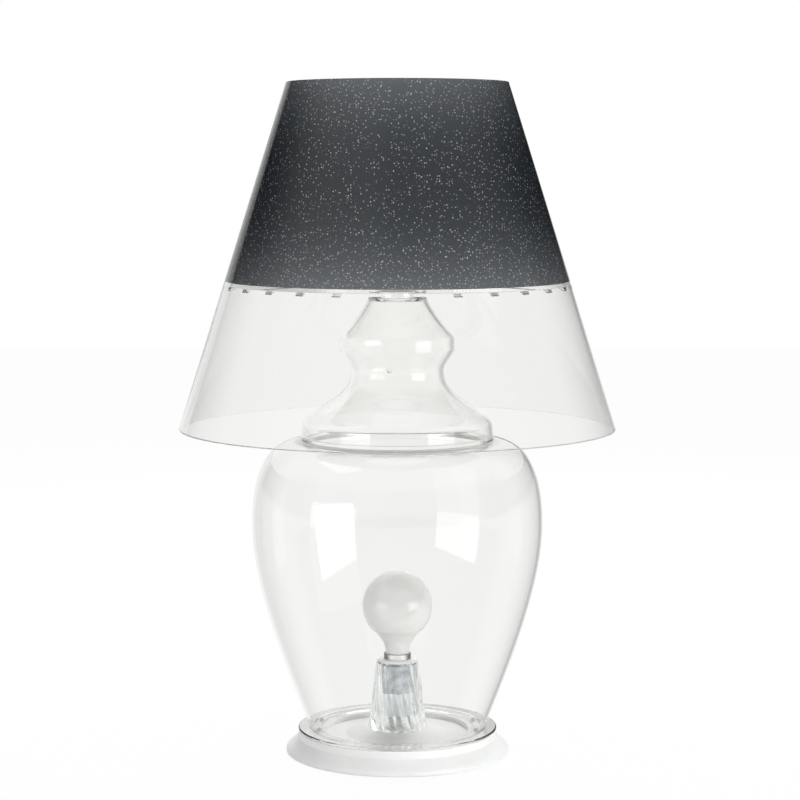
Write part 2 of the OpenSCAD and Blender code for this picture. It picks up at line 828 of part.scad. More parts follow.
module bulb_cap() {
    rings = floor((cap_l - 3 * cap_plain) / cap_pitch);
    color("silver") difference() {
        rotate_extrude() polygon(concat(
            [[0, cap_z], [cap_root_r, cap_z]],
            [
                for (i = [0 : rings - 1]) let (z = cap_z + cap_plain + i * cap_pitch)
                    each [
                        [cap_root_r, z],
                        [cap_r - crest_round, z + cap_pitch * 0.3],
                        [cap_r, z + cap_pitch * 0.5],
                        [cap_r - crest_round, z + cap_pitch * 0.7]
                    ]
            ],
            [[cap_root_r, cap_z + cap_plain + rings * cap_pitch], [cap_r, cap_top], [0, cap_top]]
        ));
        translate([0, 0, cap_z + cap_skin]) cylinder(r = cap_root_r - cap_skin, h = cap_l);
    }
}

function collar_outline() = concat(
    [[collar_foot_r, cap_top], [collar_foot_r, cap_top + collar_foot_h]],
    bezier(
        [collar_foot_r, cap_top + collar_foot_h],
        [collar_foot_r, cap_top + collar_foot_h + collar_reach],
        [collar_top_r - collar_reach, collar_top - collar_drop],
        [collar_top_r, collar_top]
    ),
    [[collar_top_r, collar_top]]
);

module bulb_collar() {
    skin = collar_outline();
    lining = [for (p = skin) [p[0] - collar_wall, p[1]]];
    color("white") rotate_extrude() polygon(concat(skin, reversed(lining)));
}

board_t = 1.6;
board_drop = 2.5;
board_z = collar_top - board_drop;
board_r = collar_top_r - collar_wall - board_drop * collar_reach / collar_drop - 0.2;

module led_board() {
    color("silver") translate([0, 0, board_z]) cylinder(r = board_r, h = board_t);
}

chip_size = 3;
chip_t = 0.8;
chip_ring_r = board_r * 0.62;
module led_chips() {
    color("khaki") ring_of(chip_count) translate([chip_ring_r, 0, board_z + board_t])
        translate([-chip_size / 2, -chip_size / 2, 0]) cube([chip_size, chip_size, chip_t]);
}

// Upright driver board in the cap, with a coil, a capacitor and a small can on it
driver_w = 17;
driver_t = 1.6;
driver_up = 4;
module led_driver() {
    driver_z = cap_z + driver_up;
    color("seagreen") union() {
        translate([-driver_w / 2, -driver_t / 2, driver_z]) cube([driver_w, driver_t, board_z - driver_z]);
        translate([-4, driver_t / 2 - over, driver_z + 6]) cube([8, 6, 9]);
        translate([3, -driver_t / 2 - 3.9, driver_z + 5]) cylinder(r = 4, h = 12);
        translate([-5, -driver_t / 2 - 2.9, driver_z + 20]) cylinder(r = 3, h = 7);
    }
}

module bulb_globe() {
    color("white") difference() {
        translate([0, 0, globe_z]) sphere(r = globe_r);
        translate([0, 0, globe_z]) sphere(r = globe_r - globe_wall);
        translate([-globe_r, -globe_r, globe_z - 2 * globe_r])
            cube([2 * globe_r, 2 * globe_r, 2 * globe_r - globe_cut]);
    }
}

// ---------------------------------------------------------------- lid

// Shape of the lid's wall: the collar's taper, its rounded corner, the slope down to the neck,
// the rounded edge of the bulge and the sweep up to the flat top
collar_taper = 1.5;
corner_in = 18.9;
corner_up = 19.6;
slope_in = 24.6;
slope_up = 17;
waist_up = 22;
bulge_in = 9.2;
bulge_over = 14.2;
neck_hold = 6.6;
sweep_in = 5.9;
sweep_up = 6;
finial_in = 3.5;
finial_down = 11;
corner_z = lid_z + collar_h;
bulge_z = lid_z + bulge_up;
bulge_top = bulge_z + bulge_h;
function lid_outline() = concat(
    [[collar_r, lid_z]],
    bezier(
        [collar_r - collar_taper, corner_z],
        [collar_r - collar_taper, corner_z + corner_up / 2],
        [collar_r - corner_in / 2, corner_z + corner_up * 0.69],
        [collar_r - corner_in, corner_z + corner_up]
    ),
    bezier(
        [collar_r - corner_in, corner_z + corner_up],
        [collar_r - corner_in - slope_in, corner_z + corner_up + slope_up],
        [neck_r, lid_z + neck_up - waist_up],
        [neck_r, lid_z + neck_up]
    ),
    bezier(
        [neck_r, lid_z + neck_up],
        [neck_r, lid_z + neck_up + neck_hold],
        [bulge_r, bulge_z - neck_hold],
        [bulge_r, bulge_z]
    ),
    [[bulge_r, bulge_z]],
    bezier(
        [bulge_r, bulge_top],
        [bulge_r, bulge_top + bulge_over * 0.44],
        [bulge_r - bulge_in * 0.55, bulge_top + bulge_over * 0.7],
        [bulge_r - bulge_in, bulge_top + bulge_over]
    ),
    bezier(
        [bulge_r - bulge_in, bulge_top + bulge_over],
        [bulge_r - bulge_in - sweep_in, bulge_top + bulge_over + sweep_up],
        [lid_top_r + finial_in, lid_top - finial_down],
        [lid_top_r, lid_top]
    ),
    [[lid_top_r, lid_top]]
);

// Web between the collar and the locating skirt, and the vent hole's height above the neck
lid_web_t = 4;
skirt_wall = 3;
skirt_r = mouth_r - skirt_gap;
vent_up = 3;

module lid() {
    wall_line = lid_outline();
    lining = moved_left(wall_line, clear_wall);
    color("aliceblue", 0.35) difference() {
        rotate_extrude() polygon(concat(
            wall_line,
            [[spigot_r, lid_top], [spigot_r, lid_top + spigot_h], [0, lid_top + spigot_h]],
            [[0, lid_top + spigot_h - clear_wall], [spigot_r - clear_wall, lid_top + spigot_h - clear_wall]],
            [[spigot_r - clear_wall, lid_top - clear_wall]],
            reversed([for (p = lining) if (p[1] > lid_z + lid_web_t && p[1] < lid_top - clear_wall) p]),
            [[collar_r - clear_wall, lid_z + lid_web_t], [skirt_r - skirt_wall, lid_z + lid_web_t]],
            [[skirt_r - skirt_wall, lid_z - skirt_h], [skirt_r, lid_z - skirt_h], [skirt_r, lid_z]]
        ));
        rotate([0, 0, vent_angle]) translate([neck_r - 2 * clear_wall, 0, lid_z + neck_up + vent_up])
            rotate([0, 90, 0]) cylinder(r = vent_r, h = 4 * clear_wall);
    }
}

// ---------------------------------------------------------------- shade unit

disc_r = liner_r(disc_top);
module carrier_disc() {
    color("aliceblue", 0.35) difference() {
        union() {
            translate([0, 0, disc_z]) cylinder(r = disc_r, h = disc_t);
            translate([0, 0, lid_top]) cylinder(r = hub_r, h = hub_h + over);
        }
        translate([0, 0, lid_top - over]) cylinder(r = spigot_r + hub_gap, h = hub_h + disc_t + 2 * over);
    }
}

module liner() {
    color("darkslategray") rotate_extrude() polygon([
        [liner_r(disc_top) - liner_wall, disc_top],
        [liner_r(disc_top), disc_top],
        [liner_r(liner_top), liner_top],
        [liner_r(liner_top) - liner_wall, liner_top]
    ]);
}

catch_gap = 0.2;
// How far a catch is rooted in the shade's wall
catch_root = 1;
catch_top = disc_z - catch_gap;
module shade() {
    catch_z = catch_top - catch_h;
    color("aliceblue", 0.35) {
        rotate_extrude() polygon([
            [shade_in_r(shade_z), shade_z],
            [shade_r(shade_z), shade_z],
            [shade_r(shade_top), shade_top],
            [shade_in_r(shade_top), shade_top]
        ]);
        ring_of(catch_count, 180 / catch_count) rotate([90, 0, 0]) translate([0, 0, -catch_w / 2])
            linear_extrude(height = catch_w) polygon([
                [disc_r - catch_reach, catch_top],
                [shade_in_r(catch_top) + catch_root, catch_top],
                [shade_in_r(catch_z) + catch_root, catch_z],
                [shade_in_r(catch_z) - catch_root, catch_z]
            ]);
    }
}

base_casing();
base_cover();
foot_pads();
cover_screws();
ballast_ring();
ballast_screws();
cord_gland();
gland_nut();
terminal_block();
terminal_screws();
live_lead();
neutral_lead();
dish_plate();
dish_screws();
jar();
jar_screws();
threaded_tube();
tube_washer();
tube_nut();
spacer_tube();
holder_cup();
holder_nut();
holder_core();
core_screws();
screw_sleeve();
centre_contact();
holder_shell();
holder_ring();
glass_cover();
bulb_tip();
bulb_insulator();
bulb_cap();
bulb_collar();
led_board();
led_chips();
led_driver();
bulb_globe();
lid();
carrier_disc();
liner();
shade();
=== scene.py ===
# %% [markdown]
# # A clear table lamp
#
# The lamp is a blown jar of clear plastic on a white base. A domed lid closes
# the jar, a white globe bulb stands inside it, and a clear cone of a shade
# with a dark speckled liner rests on the lid. The CAD frame holds the exact
# parts, so this lesson dresses them: it re-spins the clear pieces finely
# enough to bend light well, and gives every part the finish of the real one.

# %% Load the frame
import math

import bmesh
import bpy
from mathutils import Matrix, Vector


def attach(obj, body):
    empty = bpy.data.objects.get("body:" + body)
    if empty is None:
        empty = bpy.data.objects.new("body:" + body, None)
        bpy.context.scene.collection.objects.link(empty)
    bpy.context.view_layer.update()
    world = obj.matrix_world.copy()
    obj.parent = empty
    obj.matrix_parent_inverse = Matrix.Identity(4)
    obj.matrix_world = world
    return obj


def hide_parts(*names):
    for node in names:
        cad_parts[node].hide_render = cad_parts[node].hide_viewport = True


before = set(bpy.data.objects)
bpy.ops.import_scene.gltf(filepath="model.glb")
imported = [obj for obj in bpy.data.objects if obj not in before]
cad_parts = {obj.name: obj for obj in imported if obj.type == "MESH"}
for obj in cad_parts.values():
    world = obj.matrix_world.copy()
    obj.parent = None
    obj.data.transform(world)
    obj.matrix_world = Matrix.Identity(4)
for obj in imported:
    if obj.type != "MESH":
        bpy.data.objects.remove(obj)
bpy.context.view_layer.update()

# %% [markdown]
# ## Camera
#
# The product is looked at from a little above its middle with a long lens,
# so that the cone and the jar keep nearly straight sides.

# %% Camera
MM = 0.001
TILT_DOWN = 5.73  # degrees
camera_data = bpy.data.cameras.new("camera")
camera_data.lens = 104.9
camera_data.sensor_width = 36.0
camera_data.clip_end = 50.0
camera = bpy.data.objects.new("camera", camera_data)
camera.location = (0.003, -2.670, 0.6795)
camera.rotation_euler = (math.radians(90 - TILT_DOWN), 0.0, 0.0)
bpy.context.collection.objects.link(camera)
bpy.context.scene.camera = camera
print("camera lens", round(camera_data.lens, 1), "mm, tilted down by", TILT_DOWN, "degrees")

# %% [markdown]
# ## Outlines to spin
#
# Nearly every piece of this lamp is turned, so its shape is one outline of
# radius and height. Curved stretches are cubic curves between four points,
# and the inside of a wall is its outside moved square to itself.

# %% Helpers for outlines
def curve(a, b, c, d, steps=24):
    """Points on a cubic curve from a to d, pulled towards b and c."""
    line = []
    for i in range(steps + 1):
        t = i / steps
        k = ((1 - t) ** 3, 3 * t * (1 - t) ** 2, 3 * t * t * (1 - t), t ** 3)
        line.append(tuple(sum(w * p[j] for w, p in zip(k, (a, b, c, d))) for j in (0, 1)))
    return line


def joined(*lines):
    """One line from several, without a point that repeats the last."""
    out = []
    for line in lines:
        for p in line:
            if not out or math.dist(out[-1], p) > 0.01:
                out.append(p)
    return out


def moved_left(line, wall):
    """The line moved to its left by the thickness of a wall."""
    out = []
    for i, p in enumerate(line):
        a, b = line[max(i - 1, 0)], line[min(i + 1, len(line) - 1)]
        run = math.dist(a, b)
        out.append((p[0] - wall * (b[1] - a[1]) / run, p[1] + wall * (b[0] - a[0]) / run))
    return out


print("a test curve has", len(curve((0, 0), (0, 1), (1, 2), (2, 2))), "points")

# %% [markdown]
# ## Finished pieces
#
# Every piece is shaded smooth and rides on the body it moves with. Where it
# stands for a piece of the CAD, that one is hidden. A broad face has to
# outweigh the thin bevel beside it, or a long clear wall would bend light like
# a lens.

# %% Helpers for finished pieces
CREASE = math.radians(32)  # an edge that turns by more stays crisp


def even_normals(piece):
    """Smooth shading in which a broad face outweighs the thin bevel beside it."""
    piece.data.polygons.foreach_set("use_smooth", [True] * len(piece.data.polygons))
    piece.data.set_sharp_from_angle(angle=CREASE)
    weigh = piece.modifiers.new("even_normals", "WEIGHTED_NORMAL")
    weigh.mode = "FACE_AREA"
    weigh.weight = 50
    weigh.keep_sharp = True


def place(bm, name, body, slot, *stands_for):
    """Turns a bmesh into a finished piece that rides on a body. The slot argument is not used."""
    mesh = bpy.data.meshes.new(name)
    bm.to_mesh(mesh)
    bm.free()
    piece = bpy.data.objects.new(name, mesh)
    bpy.context.collection.objects.link(piece)
    even_normals(piece)
    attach(piece, body)
    if stands_for:
        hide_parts(*stands_for)
    print(name, "has", len(mesh.polygons), "faces")
    return piece


# %% [markdown]
# ## Spinning an outline
#
# The outline goes into a bmesh as a loop of edges and is spun round the
# upright axis. The seam and the poles are merged and the faces are turned
# outwards. Crisp moulded corners get a fine bevel, which is what catches the
# light on clear plastic.

# %% Helpers for turned pieces
def soften(bm, size, corner=30, segments=3):
    """Bevels every edge that turns by more than the corner angle."""
    sharp = [e for e in bm.edges
             if e.is_manifold and e.calc_face_angle(0) > math.radians(corner)]
    bmesh.ops.bevel(bm, geom=sharp, offset=size * MM, offset_type="OFFSET",
                    affect="EDGES", segments=segments, profile=0.5, material=-1,
                    clamp_overlap=True)


def spun(outline, turns=256, start=0.0, bevel=0.0, corner=30):
    """A bmesh spun from an outline of (radius, height) in millimetres."""
    bm = bmesh.new()
    across = Matrix.Rotation(start, 3, "Z")
    dots = [bm.verts.new(across @ Vector((r * MM, 0, z * MM))) for r, z in outline]
    on_axis = outline[0][0] == 0 and outline[-1][0] == 0
    pairs = list(zip(dots, dots[1:])) + ([] if on_axis else [(dots[-1], dots[0])])
    line = [bm.edges.new(pair) for pair in pairs]
    bmesh.ops.spin(bm, geom=dots + line, cent=(0, 0, 0), axis=(0, 0, 1),
                   angle=2 * math.pi, steps=turns, use_merge=True)
    bmesh.ops.remove_doubles(bm, verts=bm.verts, dist=1e-6)
    bmesh.ops.recalc_face_normals(bm, faces=bm.faces)
    if bevel:
        soften(bm, bevel, corner)
    return bm


test_ring = spun([(9, 0), (10, 0), (10, 1), (9, 1)], turns=8)
print("a ring in 8 turns has", len(test_ring.faces), "faces")
test_ring.free()

# %% [markdown]
# ## The jar
#
# One blown shape: a flange that the base's screws hold, a wall that swells
# towards the top, and a shoulder that turns in to a wide mouth.

# %% Jar
WALL = 4.0  # how thick the blown walls are, in millimetres
TOUCH = 0.05  # a hair's gap, so that faces never lie in one plane
BASE_TOP = 28  # where the jar's flange stands
LIP_LOW, LIP_TOP = 362, 366  # the turned-in lip of the mouth
LIP_IN, LIP_OUT = 104, 112
FLANGE_TOP, FLANGE_IN, FLANGE_OUT = 31, 89, 115.3
ROOT_R = 101.9  # where the wall leaves the flange
BELLY_R, BELLY_Z = 167.7, 268
jar_wall = joined(
    [(ROOT_R, FLANGE_TOP)],
    curve((ROOT_R, FLANGE_TOP), (139.82, 125.8), (BELLY_R, 206.38), (BELLY_R, BELLY_Z), 40),
    curve((BELLY_R, BELLY_Z), (BELLY_R, 325.82), (152, LIP_TOP), (LIP_OUT, LIP_TOP), 40),
)
jar_inside = [p for p in moved_left(jar_wall, WALL)
              if FLANGE_TOP + 0.5 < p[1] < LIP_LOW - 0.1 and p[0] > 98]
jar_flange = [(FLANGE_IN, BASE_TOP + TOUCH), (FLANGE_OUT - 0.5, BASE_TOP + TOUCH),
              (FLANGE_OUT, BASE_TOP + 0.5), (FLANGE_OUT, FLANGE_TOP - 1),
              (FLANGE_OUT - 1, FLANGE_TOP)]
jar_lip = [(LIP_IN, LIP_TOP), (LIP_IN, LIP_LOW)]
jar_foot = [(ROOT_R - WALL, FLANGE_TOP), (FLANGE_IN, FLANGE_TOP)]
jar_outline = jar_flange + jar_wall + jar_lip + jar_inside[::-1] + jar_foot
jar = place(spun(jar_outline, bevel=0.35), "jar_clear", "base", "clear_jar", "jar")

# %% [markdown]
# ## The lid
#
# The lid stands in the jar's mouth with a short skirt, rises as a collar,
# sweeps in to a narrow neck, swells to a knob and ends in a spigot that
# carries the shade. It is hollow, with the same wall as the jar.

# %% Lid
SKIRT_LOW = 358  # the lid's short skirt ends here, inside the jar
CROWN = 530  # the shoulder that the disc rests on
COLLAR_R, NECK_R, NECK_Z, KNOB_R = 92, 53.3, 446.2, 65.6
SPIGOT_R, SPIGOT_TOP = 22, 541.5
lid_wall = joined(
    [(110.9, LIP_TOP + TOUCH)],
    curve((109.4, 381), (109.4, 390.8), (101.45, 394.5), (COLLAR_R, 400.6)),
    curve((COLLAR_R, 400.6), (67.4, 417.6), (NECK_R, 424.2), (NECK_R, NECK_Z)),
    curve((NECK_R, NECK_Z), (NECK_R, 452.8), (KNOB_R, 463.9), (KNOB_R, 470.5)),
    curve((KNOB_R, 480.8), (KNOB_R, 487.05), (60.54, 490.74), (56.4, 495)),
    curve((56.4, 495), (50.5, 501), (36.5, 519), (33, CROWN)),
)
lid_spigot = [(SPIGOT_R, CROWN), (SPIGOT_R, SPIGOT_TOP), (0, SPIGOT_TOP)]
lid_inside = [p for p in moved_left(lid_wall, WALL) if LIP_TOP + WALL < p[1] < CROWN - WALL]
lid_hollow = [(0, SPIGOT_TOP - WALL), (SPIGOT_R - WALL, SPIGOT_TOP - WALL),
              (SPIGOT_R - WALL, CROWN - WALL)] + lid_inside[::-1]
SKIRT_R = LIP_IN - 0.4  # the skirt goes into the jar's mouth with a little play
lid_skirt = [(106.9, LIP_TOP + WALL), (SKIRT_R - 3, LIP_TOP + WALL), (SKIRT_R - 3, SKIRT_LOW),
             (SKIRT_R, SKIRT_LOW), (SKIRT_R, LIP_TOP + TOUCH)]
lid_outline = lid_hollow + lid_skirt + lid_wall + lid_spigot
lid = place(spun(lid_outline, bevel=0.35), "lid_clear", "lid", "clear_jar", "lid")

# %% [markdown]
# ## Holes drilled through a clear wall
#
# A real drill is a cylinder, so a cylinder is what cuts a hole. The Boolean
# modifier is applied at once, because the piece's finishes are chosen face by
# face later, and the doubled points along the cut are merged.

# %% Helper for holes
def drill(piece, centre, along, radius, depth):
    """Cuts a round hole through a piece, centred on a point in millimetres."""
    bm = bmesh.new()
    turn = Vector(along).to_track_quat("Z", "Y").to_matrix().to_4x4()
    bmesh.ops.create_cone(bm, cap_ends=True, segments=48, radius1=radius * MM,
                          radius2=radius * MM, depth=depth * MM,
                          matrix=Matrix.Translation(Vector(centre) * MM) @ turn)
    mesh = bpy.data.meshes.new("drill")
    bm.to_mesh(mesh)
    bm.free()
    cutter = bpy.data.objects.new("drill", mesh)
    bpy.context.collection.objects.link(cutter)
    piece.modifiers.clear()
    cut = piece.modifiers.new("hole", "BOOLEAN")
    cut.operation = "DIFFERENCE"
    cut.solver = "EXACT"
    cut.object = cutter
    done = bpy.data.meshes.new_from_object(
        piece.evaluated_get(bpy.context.evaluated_depsgraph_get()))
    piece.modifiers.clear()
    piece.data = done
    bpy.data.objects.remove(cutter)
    bm = bmesh.new()
    bm.from_mesh(done)
    bmesh.ops.remove_doubles(bm, verts=bm.verts, dist=2e-6)
    bmesh.ops.dissolve_degenerate(bm, edges=bm.edges, dist=2e-6)
    print("open edges after the drill", sum(not e.is_manifold for e in bm.edges))
    bm.to_mesh(done)
    bm.free()
    even_normals(piece)


print("drill ready")

# %% [markdown]
# ## The vent and the screw holes
#
# A lid that closes this tightly over a warm bulb needs a vent: a small hole
# in its neck. Four screws hold the jar by its flange, two on each side.

# %% Drilled holes
VENT_Z, VENT_R, VENT_FROM_AXIS = 449.2, 2, 52
SCREW_RING, SCREW_HOLE_R = 93.5, 1.55
FLANGE_MIDDLE = (BASE_TOP + FLANGE_TOP) / 2
vent_at = math.radians(-100)
vent_dir = Vector((math.cos(vent_at), math.sin(vent_at), 0))
drill(lid, vent_dir * VENT_FROM_AXIS + Vector((0, 0, VENT_Z)), vent_dir, VENT_R, 16)
for turned in (-15, 15, 165, 195):
    angle = math.radians(turned)
    drill(jar, (SCREW_RING * math.cos(angle), SCREW_RING * math.sin(angle), FLANGE_MIDDLE),
          (0, 0, 1), SCREW_HOLE_R, 6)
print("lid faces", len(lid.data.polygons), "jar faces", len(jar.data.polygons))

# %% [markdown]
# ## The shade
#
# A clear cone with an even wall. A little below its middle, 28 small catches
# stand in from the wall and hold the disc. The cone is spun in 28 times 14
# steps, so each catch is three faces of the wall pulled inwards.

# %% Shade
SHADE_LOW, SHADE_TOP = 380, 774.5
SHADE_LOW_R, SHADE_TOP_R = 251, 126.4
SHADE_WALL = 3.7
CATCHES, STEPS = 28, 14
CATCH_LOW, CATCH_TOP = 539.8, 543.8
CATCH_TIP_LOW, CATCH_TIP_TOP = 195.83, 189.58  # how far from the axis the catch ends
step = 2 * math.pi / (CATCHES * STEPS)


def shade_r(z):
    """The shade's outside radius at a height."""
    share = (z - SHADE_LOW) / (SHADE_TOP - SHADE_LOW)
    return SHADE_LOW_R + (SHADE_TOP_R - SHADE_LOW_R) * share


def in_a_catch(face):
    """Whether a face of the shade's inside is one of those that become a catch."""
    middle = face.calc_center_median()
    if not CATCH_LOW * MM < middle.z < CATCH_TOP * MM or middle.xy.length > 0.2:
        return False
    return round(math.atan2(middle.y, middle.x) / step) % STEPS in (6, 7, 8)


shade_outline = [(shade_r(SHADE_LOW) - SHADE_WALL, SHADE_LOW), (shade_r(SHADE_LOW), SHADE_LOW),
                 (shade_r(SHADE_TOP), SHADE_TOP)]
shade_outline += [(shade_r(z) - SHADE_WALL, z) for z in (SHADE_TOP, CATCH_TOP, CATCH_LOW)]
shade_bm = spun(shade_outline, CATCHES * STEPS, start=-step / 2, bevel=0.5)
catch_faces = [f for f in shade_bm.faces if in_a_catch(f)]
pulled = bmesh.ops.extrude_face_region(shade_bm, geom=catch_faces)["geom"]
for dot in (v for v in pulled if isinstance(v, bmesh.types.BMVert)):
    above_middle = dot.co.z > (CATCH_LOW + CATCH_TOP) / 2 * MM
    reach = CATCH_TIP_TOP if above_middle else CATCH_TIP_LOW
    dot.co.xy = dot.co.xy.normalized() * reach * MM
bmesh.ops.delete(shade_bm, geom=catch_faces, context="FACES")
bmesh.ops.recalc_face_normals(shade_bm, faces=shade_bm.faces)
print("open edges on the shade", sum(not e.is_manifold for e in shade_bm.edges))
shade = place(shade_bm, "shade_clear", "shade_unit", "clear_jar", "shade")

# %% [markdown]
# ## The disc and the liner
#
# The disc is a clear plate with a hub that drops over the lid's spigot. The
# liner is a thin sheet rolled to a cone, dark slate with fine pale flecks. Its
# outer face goes a hair into the shade's wall, as if bonded, because a thin
# layer of air between them would mirror a bright line round the whole cone.

# %% Disc and liner
DISC_LOW, DISC_TOP, DISC_R = 544, 548.5, 193.58
HUB_IN, HUB_OUT = 22.3, 28
LINER_TOP, LINER_TOP_IN = 774.3, 121.2
disc_outline = [(HUB_IN, CROWN + TOUCH), (HUB_OUT, CROWN + TOUCH), (HUB_OUT, DISC_LOW),
                (DISC_R, DISC_LOW), (DISC_R, DISC_TOP), (HUB_IN, DISC_TOP)]
disc = place(spun(disc_outline, bevel=0.3), "disc_clear", "shade_unit", "clear_jar",
             "carrier_disc")
liner_outline = [
    (DISC_R - 1, DISC_TOP + TOUCH), (shade_r(DISC_TOP) - SHADE_WALL + TOUCH, DISC_TOP + TOUCH),
    (shade_r(LINER_TOP) - SHADE_WALL + TOUCH, LINER_TOP), (LINER_TOP_IN, LINER_TOP),
]
liner = place(spun(liner_outline, 320), "liner_cone", "shade_unit", "liner_slate", "liner")

# %% [markdown]
# ## The cut glass cover
#
# A heavy clear cover hides the lampholder. It has twelve ridges that turn a
# little as they rise, like twisted barley sugar, and it narrows to a round
# lip. Its foot is a circle whose 24 corners are near and far in turn.

# %% Foot of the cover
CORNERS, POINTS = 24, 96
FOOT_R, FOOT_VALLEY, FOOT_Z = 34, 31, 29.5 + TOUCH


def corner_spot(k):
    """Corner k of the foot: the even ones are ridges, the odd ones valleys."""
    reach, around = (FOOT_R, FOOT_VALLEY)[k % 2], 2 * math.pi * k / CORNERS
    return Vector((reach * math.cos(around), reach * math.sin(around)))


def point_number(dot):
    """Which of the 96 points round the axis a vertex is."""
    return round(math.atan2(dot.co.y, dot.co.x) * POINTS / (2 * math.pi)) % POINTS


cover_bm = bmesh.new()
foot_dots = bmesh.ops.create_circle(cover_bm, segments=POINTS, radius=FOOT_R * MM,
                                    matrix=Matrix.Translation((0, 0, FOOT_Z * MM)))["verts"]
for dot in foot_dots:
    k, share = divmod(point_number(dot) * CORNERS / POINTS, 1)
    dot.co.xy = corner_spot(int(k)).lerp(corner_spot(int(k) + 1), share) * MM
foot_spots = {point_number(dot): dot.co.copy() for dot in foot_dots}
print("points on the foot:", len(foot_spots))

# %% [markdown]
# ## The twist, the lip and the bore
#
# The foot is lifted ring by ring, and each ring is turned and shrunk a little
# more than the last. The lip and the bore go on from the last ring, so the
# cover is one strip that closes on its own foot. The whole turn is a whole
# number of points, so that the strip meets the foot point by point.

# %% Cut glass cover
FLUTE_HEIGHT = 78 - TOUCH
COVER_TOP, LIP_DEPTH = 110.5, 6
SLICES, SHRINK = 20, 24.6 / FOOT_R
TURN = math.radians(11 * 360 / POINTS)  # as far as 11 of the 96 points
BORE_R, ROOM_R = 14.2, 19.7  # the hole for the bulb, and the room for the lampholder
LIP_AND_BORE = ((22.62, 107.5), (20.62, COVER_TOP), (BORE_R, COVER_TOP),
                (BORE_R, COVER_TOP - LIP_DEPTH), (ROOM_R, COVER_TOP - LIP_DEPTH),
                (ROOM_R, FOOT_Z))


def lifted(edges):
    """Extrudes a ring of edges and gives the new points and edges."""
    made = bmesh.ops.extrude_edge_only(cover_bm, edges=edges)["geom"]
    return ([g for g in made if isinstance(g, bmesh.types.BMVert)],
            [g for g in made if isinstance(g, bmesh.types.BMEdge)])


level = list(cover_bm.edges)
for k in range(SLICES):
    dots, level = lifted(level)
    before, after = (1 + (SHRINK - 1) * n / SLICES for n in (k, k + 1))
    bmesh.ops.rotate(cover_bm, verts=dots, cent=(0, 0, 0),
                     matrix=Matrix.Rotation(-TURN / SLICES, 3, "Z"))
    bmesh.ops.scale(cover_bm, verts=dots, vec=(after / before, after / before, 1))
    bmesh.ops.translate(cover_bm, verts=dots, vec=(0, 0, FLUTE_HEIGHT / SLICES * MM))
for radius, height in LIP_AND_BORE:
    dots, level = lifted(level)
    for dot in dots:
        dot.co = Vector((dot.co.x, dot.co.y, 0)).normalized() * radius * MM
        dot.co.z = height * MM
dots, level = lifted(level)
for dot in dots:
    dot.co = foot_spots[point_number(dot)]
bmesh.ops.remove_doubles(cover_bm, verts=cover_bm.verts, dist=1e-6)
bmesh.ops.recalc_face_normals(cover_bm, faces=cover_bm.faces)
print("open edges on the cover", sum(not e.is_manifold for e in cover_bm.edges),
      "points inside the bore", sum(v.co.xy.length < (BORE_R - 0.1) * MM for v in cover_bm.verts))
cover = place(cover_bm, "cover_cut_glass", "base", "cut_glass", "glass_cover")

# %% [markdown]
# ## Building materials from nodes
#
# Every finish of the lamp is a small tree of nodes, and so is the room round
# it. A few helpers make nodes and do sums on their values.

# %% Helpers for nodes
def node(tree, kind, **inputs):
    """Adds a node and sets its inputs by name."""
    made = tree.nodes.new(kind)
    for name, value in inputs.items():
        made.inputs[name.replace("_", " ")].default_value = value
    return made


def put(tree, value, slot):
    """Gives an input a number, or links another node's output to it."""
    if isinstance(value, (int, float)):
        slot.default_value = value
    else:
        tree.links.new(value, slot)


def calc(tree, operation, *values):
    """One step of arithmetic on numbers or outputs."""
    made = tree.nodes.new("ShaderNodeMath")
    made.operation = operation
    for value, slot in zip(values, made.inputs):
        put(tree, value, slot)
    return made.outputs["Value"]


def mapped(tree, value, kind="LINEAR", **limits):
    """A value carried from one range to another."""
    made = node(tree, "ShaderNodeMapRange", **limits)
    made.interpolation_type = kind
    tree.links.new(value, made.inputs["Value"])
    return made.outputs["Result"]


def two_tone(tree, factor, one, other):
    """A colour between two colours, or between an output and a colour."""
    made = tree.nodes.new("ShaderNodeMix")
    made.data_type = "RGBA"
    tree.links.new(factor, made.inputs["Factor"])
    for value, slot in ((one, made.inputs["A"]), (other, made.inputs["B"])):
        if isinstance(value, tuple):
            slot.default_value = (*value, 1)
        else:
            tree.links.new(value, slot)
    return made.outputs["Result"]


print("node helpers ready")

# %% [markdown]
# ## Materials and relief
#
# A new material starts with its Principled and output nodes. A relief is a
# noise in object space that only tilts the surface's shading, for a grain
# too fine to model.

# %% Helpers for materials
def material(name):
    """A new material with its Principled and output nodes."""
    made = bpy.data.materials.new(name)
    made.use_nodes = True
    tree = made.node_tree
    return made, tree, tree.nodes["Principled BSDF"], tree.nodes["Material Output"]


def bump(tree, surface, scale, strength, distance):
    """Gives a surface a fine relief from a noise in object space."""
    where = node(tree, "ShaderNodeTexCoord")
    noise = node(tree, "ShaderNodeTexNoise", Scale=scale, Detail=2.0)
    relief = node(tree, "ShaderNodeBump", Strength=strength, Distance=distance)
    tree.links.new(where.outputs["Object"], noise.inputs["Vector"])
    tree.links.new(noise.outputs["Fac"], relief.inputs["Height"])
    tree.links.new(relief.outputs["Normal"], surface.inputs["Normal"])


def wear(material_made, *pieces):
    """Puts one material on pieces, new or from the CAD."""
    for piece in pieces:
        if not piece.data.materials:
            piece.data.materials.append(material_made)
        for slot in piece.material_slots:
            slot.material = material_made


test_material, tree, _, _ = material("test_tree")
print("a new material has", len(tree.nodes), "nodes")
bpy.data.materials.remove(test_material)

# %% [markdown]
# ## Clear plastic and glass
#
# Both are a Principled surface with full transmission. A lamp's light would
# have to find its way through by luck, so for shadow rays alone the surface
# is see-through, a little tinted. The jar's surface is not dead flat: a
# blown wall has slow waves, which a large, soft noise gives as a bump. The
# lid is a little less dense than the jar, which keeps its outline faint.

